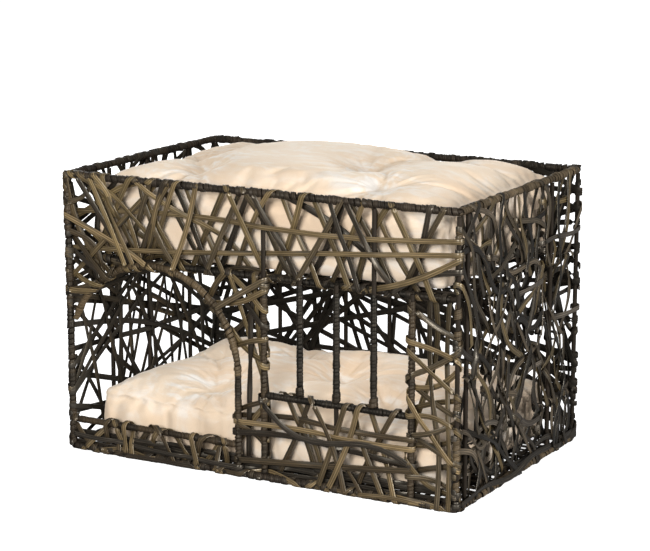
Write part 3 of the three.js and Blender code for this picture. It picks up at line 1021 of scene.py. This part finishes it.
def weave_right():
    """The dense end: strips run up and down in waves and stand proud, with short grey ones across them."""
    panel = Panel((RIGHT_X, 0, 0), (0, 1, 0), (0, 0, 1), (1, 0, 0), (-0.014, 0.012))
    base, shelf, top = level_rails(FRONT_Y, BACK_Y, SHELF_INSET)
    front, back = upright(FRONT_Y), upright(BACK_Y)
    rails = (base, top, front, back)
    area = ((FRONT_Y, BASE_Z), (BACK_Y, TOP_Z))
    weaver = Weaver(23, MIXED, bow=0.014, wave=0.010, curl=0.006, wander=0.007, roll=0.35, outer_share=0.7,
                    step=0.0055, beat=0.028, area=area)
    for across in np.linspace(FRONT_Y, BACK_Y, KNOTTED_UPRIGHTS)[1:-1]:
        weaver.between((base, across), (top, across), "right", jitter=0.008, bow=0.008)
    weaver.scatter(rails, area, (20, 160), 10, "right")
    # Between the rims, strips turn back round each other in level bands.
    bands = [base] + [Rail((FRONT_Y, level), (BACK_Y, level), WALL_WIRE) for level in KNOTTED_LEVELS] + [top]
    for below, above in zip(bands, bands[1:]):
        for start in (0.002, 0.016, 0.030):
            weaver.zigzag((below, above), (FRONT_Y + start, BACK_Y - 0.002), 0.043, "right", 0.5,
                          bow=0.011, wave=0.004)
    # Short strips hook round the uprights and round the strips that run beside them.
    knots = [upright(across) for across in np.linspace(FRONT_Y, BACK_Y, KNOTTED_UPRIGHTS)]
    weaver.scatter(knots[::2], area, (-50, 50), 18, "right", bow=0.007, wave=0.004)
    weaver.palette = GREY
    weaver.scatter(knots[::3], area, (-16, 16), 9, "right", bow=0.004, wave=0.004)
    for level in BASE_STRIP_LEVELS:
        weaver.between((front, level), (back, level), "right", DARKER_STRIP, bow=0.003, wave=0.003)
    wires = [piece for place in stiffener_places("right", 1, 2) for piece in upright(place).pieces()]
    panel.build(weaver.strands, wires + shelf.pieces(), cane_look, "woven_strip")


def star_weave(weaver, rails, width, legs, piece):
    """An open weave of nearly straight strips at every lean, with a few more level and upright ones."""
    area = ((-width / 2, BASE_Z), (width / 2, TOP_Z))
    weaver.scatter(rails, area, (0, 180), legs, piece)
    weaver.scatter(rails, area, (-24, 24), legs // 3, piece)
    weaver.scatter(rails, area, (70, 110), legs // 6, piece)


def weave_left():
    panel = Panel((LEFT_X, 0, 0), (0, 1, 0), (0, 0, 1), (-1, 0, 0))
    base, shelf, top = level_rails(FRONT_Y, BACK_Y, SHELF_INSET)
    weaver = Weaver(31, BROWN + DARK, bow=0.009, step=0.006, area=((FRONT_Y, BASE_Z), (BACK_Y, TOP_Z)))
    rails = (base, top, upright(FRONT_Y, radius=WIRE_RADIUS), upright(BACK_Y))
    star_weave(weaver, rails, BACK_Y - FRONT_Y, 38, "left")
    wires = [piece for place in stiffener_places("left", 1, 3) for piece in upright(place).pieces()]
    panel.build(weaver.strands, wires + shelf.pieces(), cane_look, "woven_strip")


def weave_back():
    panel = Panel((0, BACK_Y, 0), (1, 0, 0), (0, 0, 1), (0, 1, 0))
    base, shelf, top = level_rails(LEFT_X, RIGHT_X, SHELF_INSET)
    weaver = Weaver(43, DARK, bow=0.005, step=0.0068)
    star_weave(weaver, (base, top, upright(LEFT_X), upright(RIGHT_X)), RIGHT_X - LEFT_X, 54, "back")
    wires = [piece for place in stiffener_places("back", 0, 3) for piece in upright(place).pieces()]
    panel.build(weaver.strands, wires + shelf.pieces(), shadow_cane_look, "dark_woven_strip")


def weave_level(name, height, inset, seed, advances, step):
    """The shelf or the floor: strips to and fro both ways between the four rails."""
    panel = Panel((0, 0, height), (1, 0, 0), (0, 1, 0), (0, 0, 1), (-0.006, 0.005))
    left, right = LEFT_X + inset, RIGHT_X - inset
    front, back = FRONT_Y + inset, BACK_Y - inset
    rails = [Rail((left, y), (right, y), WALL_WIRE) for y in (front, back)]
    ends = [Rail((x, front), (x, back), WALL_WIRE) for x in (left, right)]
    weaver = Weaver(seed, DARK, bow=0.004, wander=0.001, roll=0.05, outer_share=0.5, step=step, slack=0.0003)
    for advance in advances:
        weaver.zigzag(rails, (left + 0.01, right - 0.01), advance, name, 0.6)
        weaver.zigzag(ends, (front + 0.01, back - 0.01), advance * 1.3, name, 0.6)
    cross = [middle(f"{name}_cross_wire_{number}").x for number in (1, 2)]
    wires = [piece for x in cross for piece in Rail((x, front), (x, back), WIRE_RADIUS).pieces()]
    panel.build(weaver.strands, wires, shadow_cane_look, "dark_woven_strip")


# ---------------------------------------------------------------- the bindings

def bind_rims():
    for rim, level, seed in (("top", TOP_Z, 5), ("base", BASE_Z, 6)):
        random = np.random.default_rng(seed)
        loop = rim_loop(level)
        sides = ("front", "back", "left", "right")
        wire_piece(f"{rim}_rim_bent_wire", loop[:-1], [f"{rim}_rim_wire_{side}" for side in sides])
        mesh = StripMesh()
        # The loop ends with the right side, which is wound with paler strip.
        right_side = int(np.argmin(np.hypot(loop[:, 0] - RIGHT_X, loop[:, 1] - FRONT_Y)))
        habits = {"wire_radius": WIRE_RADIUS + RIM_PADDING, "rough": RIM_ROUGHNESS}
        wind(mesh, loop[:right_side + 1], random, RIM_TONES, **habits)
        wind(mesh, loop[right_side:], random, END_RIM_TONES, pitch=END_RIM_PITCH, **habits)
        mesh.build(f"{rim}_rim_winding", bound_cane_look, "binding_strip",
                   [f"{rim}_rim_binding_{side}" for side in sides])


def bind_front():
    """The windings of the arch, the jamb, the sills, the window and the shelf's front rail."""
    random = np.random.default_rng(9)

    def wound(name, lines, tones, **habits):
        mesh = StripMesh()
        for start, end in lines:
            wind(mesh, line_points(start, end), random, tones, **habits)
        mesh.build(name, bound_cane_look, "binding_strip")

    def upright_line(x, low, high):
        return (x, FRONT_Y, low), (x, FRONT_Y, high)

    def level_line(left, right, z, y=FRONT_Y):
        return (left, y, z), (right, y, z)

    arch_mesh = StripMesh()
    wind(arch_mesh, arch_line(), random, ARCH_TONES, pitch=FINE_PITCH, rough=1.3)
    arch_mesh.build("door_arch_winding", bound_cane_look, "binding_strip", ["door_arch_binding"])
    under_shelf = SHELF_Z - BOUND_RADIUS
    wound("door_jamb_winding", [upright_line(JAMB_X, BASE_Z + BOUND_RADIUS, SPRING_Z)], POST_TONES,
          pitch=FINE_PITCH)
    wound("door_sill_winding", [level_line(LEFT_X + 0.004, JAMB_X - 0.004, DOOR_SILL_Z)], POST_TONES,
          pitch=FINE_PITCH)
    posts = [upright_line(x, BASE_Z + BOUND_RADIUS, under_shelf) for x in (POST_LEFT_X, POST_RIGHT_X)]
    wound("window_post_windings", posts, POST_TONES, pitch=FINE_PITCH)
    bars = [upright_line(x, SILL_Z + BOUND_RADIUS, under_shelf) for x in BAR_X]
    wound("window_bar_windings", bars, BAR_TONES, pitch=FINE_PITCH, rough=0.7)
    feet = [upright_line(x, SILL_Z + BOUND_RADIUS, SILL_Z + 0.016) for x in BAR_X]
    wound("window_bar_foot_knots", feet, POST_TONES, wire_radius=WIRE_RADIUS + KNOT_PADDING, pitch=KNOT_PITCH)
    wound("window_sill_winding", [level_line(POST_LEFT_X + 0.004, POST_RIGHT_X - 0.004, SILL_Z)], BAR_TONES,
          pitch=FINE_PITCH)
    wound("shelf_front_winding",
          [level_line(LEFT_X + 0.014, RIGHT_X - 0.014, SHELF_Z, FRONT_Y + SHELF_INSET)], BAR_TONES)
    patches = [upright_line(RIGHT_X, low, low + size) for low, size in POST_PATCHES]
    wound("front_right_post_windings", patches, ARCH_TONES)
    wound("front_left_post_winding", [upright_line(LEFT_X, BASE_Z + 0.004, TOP_Z - 0.003)], POST_TONES,
          wire_radius=WIRE_RADIUS + RIM_PADDING, rough=1.1)


# ---------------------------------------------------------------- the cushions

def rounded_outline(half_x, half_y, corner, count):
    """Points round a rectangle with round corners, evenly spaced, as (x, y)."""
    points = []
    for index, (sx, sy) in enumerate([(1, 1), (-1, 1), (-1, -1), (1, -1)]):
        for angle in np.linspace(0, math.pi / 2, 12) + math.pi / 2 * index:
            points.append((sx * (half_x - corner) + corner * math.cos(angle),
                           sy * (half_y - corner) + corner * math.sin(angle), 0.0))
    points = np.array(points + points[:1])
    return along_path(points, np.linspace(0, arc_lengths(points)[-1], count, endpoint=False))[:, :2]


def blank_cushion(name, half_x, half_y, low, edge, crown):
    """A closed form with a crowned top, an upright side and a flat bottom, as rings from the top's middle."""
    count = RING_POINTS
    outline = rounded_outline(half_x, half_y, CUSHION_CORNER, count)
    rings = []
    for share in np.linspace(0.03, 0.975, 34):
        rise = edge + (crown - edge) * (1 - share ** 4.5)
        rings.append(np.column_stack([outline * share, np.full(count, rise)]))
    for share in np.linspace(1, 0, 14):
        swell = 1.0 + 0.008 * (1 - (2 * share - 1) ** 2)
        height = low + (edge - low) * (0.03 + 0.97 * share)
        rings.append(np.column_stack([outline * swell, np.full(count, height)]))
    for share in np.linspace(0.97, 0.03, 24):
        rings.append(np.column_stack([outline * share, np.full(count, low)]))
    points = np.concatenate(rings)
    sides, ends = tube_faces(len(rings), count)
    return mesh_from(name, points, [sides[:, ::-1], ends[:, ::-1]])


def remeshed(piece, size):
    modifier = piece.modifiers.new("remesh", "REMESH")
    modifier.mode = "VOXEL"
    modifier.voxel_size = size
    apply_modifiers(piece)


def apply_modifiers(piece):
    bpy.context.view_layer.update()
    evaluated = piece.evaluated_get(bpy.context.evaluated_depsgraph_get())
    mesh = bpy.data.meshes.new_from_object(evaluated)
    piece.modifiers.clear()
    piece.data = mesh


def coordinates(mesh):
    points = np.zeros(len(mesh.vertices) * 3, np.float32)
    mesh.vertices.foreach_get("co", points)
    return points.reshape(-1, 3).astype(float)


def set_coordinates(mesh, points):
    mesh.vertices.foreach_set("co", points.astype(np.float32).reshape(-1))
    mesh.update()


def normals_of(mesh):
    values = np.zeros(len(mesh.vertices) * 3, np.float32)
    mesh.vertex_normals.foreach_get("vector", values)
    return values.reshape(-1, 3).astype(float)


def smoothed(points, edges, rounds):
    """Points moved to the mean of their neighbours again and again."""
    for _ in range(rounds):
        total, hits = np.zeros_like(points), np.zeros(len(points))
        for a, b in ((0, 1), (1, 0)):
            np.add.at(total, edges[:, a], points[edges[:, b]])
            np.add.at(hits, edges[:, a], 1.0)
        points = 0.5 * points + 0.5 * total / hits[:, None]
    return points


def edge_pairs(mesh):
    pairs = np.zeros(len(mesh.edges) * 2, np.int32)
    mesh.edges.foreach_get("vertices", pairs)
    return pairs.reshape(-1, 2)


def blow_up(piece, pinned):
    """Swells the cushion as cloth under pressure, with some to spare, so that it wrinkles round its pins."""
    start = coordinates(piece.data)
    group = piece.vertex_groups.new(name="held")
    group.add([int(index) for index in pinned], 1.0, "REPLACE")
    cloth = piece.modifiers.new("swell", "CLOTH")
    settings = cloth.settings
    settings.quality = 6
    settings.mass = 0.25
    settings.tension_stiffness = settings.compression_stiffness = 12.0
    settings.bending_stiffness = 0.4
    settings.shrink_min = -0.035
    settings.use_pressure = True
    settings.uniform_pressure_force = 4.0
    settings.vertex_group_mass = "held"
    settings.effector_weights.gravity = 0.0
    cloth.collision_settings.use_collision = False
    for frame_number in range(1, SWELL_FRAMES + 1):
        bpy.context.scene.frame_set(frame_number)
    apply_modifiers(piece)
    bpy.context.scene.frame_set(1)
    piece.vertex_groups.clear()
    moved = coordinates(piece.data) - start
    size = np.linalg.norm(moved, axis=1, keepdims=True)
    set_coordinates(piece.data, start + moved * np.minimum(1.0, FURTHEST_SWELL / np.maximum(size, 1e-9)))


def tuft_dents(points, tufts, depth, crease):
    """How far each point is pulled down by the tufts: a soft dimple, with folds that run out from it."""
    down = np.zeros(len(points))
    for index, (x, y) in enumerate(tufts):
        away = np.hypot(points[:, 0] - x, points[:, 1] - y)
        angle = np.arctan2(points[:, 1] - y, points[:, 0] - x)
        broad = (1 - np.abs(np.sin(4.5 * angle + index * 1.7))) ** 3
        folds = broad + 0.6 * (1 - np.abs(np.sin(7 * angle + index))) ** 3
        ring = np.exp(-(away / (TUFT_REACH * 0.8)) ** 2) * (1 - np.exp(-(away / 0.010) ** 2))
        down += depth * np.exp(-(away / TUFT_REACH) ** 1.2) + crease * folds * ring
    return down


def fine_rays(points, tufts, random):
    """Fine creases that run out from each tuft."""
    depth = np.zeros(len(points))
    for x, y in tufts:
        away = np.hypot(points[:, 0] - x, points[:, 1] - y)
        angle = np.arctan2(points[:, 1] - y, points[:, 0] - x)
        ring = np.exp(-(away / 0.075) ** 2) * (1 - np.exp(-(away / 0.022) ** 2))
        bend = angle + 4 * away * random.normal()
        rays = np.cos(17 * bend + random.random() * 6) + np.cos(27 * bend + random.random() * 6)
        depth += RAY_DEPTH * ring * rays
    return depth


def on_seam(points, half_x, half_y, edge):
    """The points of the seam where the top is sewn to the side."""
    rim = (np.abs(points[:, 0]) > half_x - 0.006) | (np.abs(points[:, 1]) > half_y - 0.006)
    return rim & (np.abs(points[:, 2] - edge) < 0.004)


def cushion(name, node, side, fullness, tufts, depth, crease, seed):
    """One cushion in the room that its CAD solid takes, from its boxed blank to its last wrinkle."""
    low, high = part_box(node)
    half_x, half_y = high.x - 0.001, high.y + fullness
    random = np.random.default_rng(seed)
    crown = high.z
    edge = low.z + side
    mesh = blank_cushion(name, half_x, half_y, low.z + 0.0005, edge, crown)
    piece = add_piece(name, mesh, plush_look, node, [node])
    remeshed(piece, CUSHION_MESH)
    points = coordinates(piece.data)
    top = np.clip((points[:, 2] - edge + 0.012) / 0.02, 0, 1)
    points[:, 2] -= top * tuft_dents(points, tufts, depth, crease)
    set_coordinates(piece.data, points)
    held = (points[:, 2] < low.z + 0.002) | on_seam(points, half_x, half_y, edge)
    for x, y in tufts:
        held |= (np.hypot(points[:, 0] - x, points[:, 1] - y) < 0.007) & (top > 0.5)
    held = np.nonzero(held)[0]
    blow_up(piece, held)
    subdivide = piece.modifiers.new("smooth", "SUBSURF")
    subdivide.levels = subdivide.render_levels = 1
    apply_modifiers(piece)
    finish_cushion(piece, low, high, edge, tufts, random)


def finish_cushion(piece, low, high, edge, tufts, random):
    """The seam round the top's edge, small wrinkles down the side, and how deep each point lies in a fold,
    for the plush's painted shade.
    """
    mesh = piece.data
    points, normals = coordinates(mesh), normals_of(mesh)
    below_edge = edge - points[:, 2]
    ridge = SEAM_RIDGE * np.exp(-(below_edge / 0.0034) ** 2)
    groove = SEAM_GROOVE * np.exp(-((below_edge - 0.0085) / 0.0040) ** 2)
    upright_face = np.clip(1.4 - 1.6 * np.abs(normals[:, 2]), 0, 1)
    points += normals * ((ridge - groove) * upright_face)[:, None]
    around = np.arctan2(points[:, 1] / (high.y - low.y), points[:, 0] / (high.x - low.x))
    ripple = np.zeros(len(points))
    for cycles in (37, 53, 71, 96):
        ripple += np.cos(cycles * around + random.random() * 6 + 30 * points[:, 2]) / 3
    fade = upright_face * np.clip((points[:, 2] - low.z) / 0.02, 0, 1)
    points += normals * (SIDE_RIPPLE * ripple * fade)[:, None]
    points[:, 2] -= fine_rays(points, tufts, random) * (normals[:, 2] > 0.5)
    points[:, 2] = np.maximum(points[:, 2], low.z)
    # The highest swell is flattened the more, the higher it rises.
    swell = points[:, 2] - (high.z - CROWN_SPARE)
    flattened = high.z - CROWN_SPARE + 2 * CROWN_SPARE * (1 - np.exp(-swell / (2 * CROWN_SPARE)))
    points[:, 2] = np.where(swell > 0, flattened, points[:, 2])
    points = np.clip(points, np.array(low) - 0.004, np.array(high) + CROWN_SPARE)
    set_coordinates(mesh, points)
    # How far each point sinks below the smoothed surface sets the painted shade in the folds.
    calm = smoothed(points, edge_pairs(mesh), 14)
    sunk = ((calm - points) * normals_of(mesh)).sum(1)
    put_attribute(mesh, "fold", "FLOAT", "value", np.clip(sunk / DEEPEST_FOLD, 0, 1) * (1 - upright_face))
    near = sum(np.exp(-(np.hypot(points[:, 0] - x, points[:, 1] - y) / TUFT_REACH) ** 2) for x, y in tufts)
    put_attribute(mesh, "near_tuft", "FLOAT", "value", np.clip(near, 0, 1) * (points[:, 2] > edge - 0.02))
    mesh.polygons.foreach_set("use_smooth", np.ones(len(mesh.polygons), bool))


# ---------------------------------------------------------------- the studio

def studio():
    bpy.ops.mesh.primitive_plane_add(size=60)
    floor = bpy.context.object
    floor.name = "studio_floor"
    floor.data.materials.append(floor_material())
    # The floor is bright to look at, and doesn't light the basket from below.
    floor.visible_diffuse = floor.visible_glossy = False
    world = bpy.data.worlds.new("studio")
    bpy.context.scene.world = world
    world.use_nodes = True
    world.node_tree.nodes["Background"].inputs["Color"].default_value = (1.0, 1.0, 1.0, 1.0)
    world.node_tree.nodes["Background"].inputs["Strength"].default_value = 0.20
    for name, place, size, power in (
        ("key", (0.6, -2.9, 1.2), 1.1, 104.0),
        ("fill", (3.0, -0.8, 0.6), 1.0, 84.0),
        ("top", (0.1, -0.3, 2.8), 1.6, 15.0),
        ("back", (-1.9, 2.2, 1.2), 1.6, 26.0),
        ("cabin", (0.0, 0.0, SHELF_Z - 0.012), 0.36, 0.42),
    ):
        light = bpy.data.lights.new(name, "AREA")
        light.size, light.energy = size, power
        lamp = bpy.data.objects.new(name, light)
        lamp.location = place
        lamp.rotation_euler = (Vector((0, 0, 0.1)) - Vector(place)).to_track_quat("-Z", "Y").to_euler()
        bpy.context.scene.collection.objects.link(lamp)
    bpy.context.scene.view_settings.view_transform = "Standard"


def photograph():
    """The camera of the photograph: its bearing and height above the horizon, its distance and its lens."""
    azimuth, elevation = math.radians(29.147), math.radians(12.115)
    distance, lens, sensor = 2.8666, 117.6, 36.0
    level = math.cos(elevation)
    back = Vector((math.sin(azimuth) * level, -math.cos(azimuth) * level, math.sin(elevation)))
    turned = (-back).to_track_quat("-Z", "Y")
    data = bpy.data.cameras.new("photograph")
    data.lens, data.sensor_width = lens, sensor
    camera = bpy.data.objects.new("photograph", data)
    aim = Vector((0, 0, (TOP_Z + BASE_Z) / 2)) + turned @ Vector((0.00074, 0.0435, 0.0))
    camera.location = aim + back * distance
    camera.rotation_mode = "QUATERNION"
    camera.rotation_quaternion = turned
    bpy.context.scene.collection.objects.link(camera)
    bpy.context.scene.camera = camera


# ---------------------------------------------------------------- putting it together

weave_front()
weave_right()
weave_left()
weave_back()
weave_level("shelf", SHELF_Z, SHELF_INSET, 51, (0.030, 0.045, 0.080), 0.006)
weave_level("floor", BASE_Z, 0.0, 52, (0.017, 0.019, 0.026, 0.036), 0.010)
bind_rims()
bind_front()
cushion("upper_cushion_pad", "upper_cushion", 0.092, 0.001, UPPER_TUFTS, 0.018, 0.0020, 71)
cushion("lower_cushion_pad", "lower_cushion", 0.070, -0.004, LOWER_TUFTS, 0.024, 0.0044, 72)
studio()
photograph()
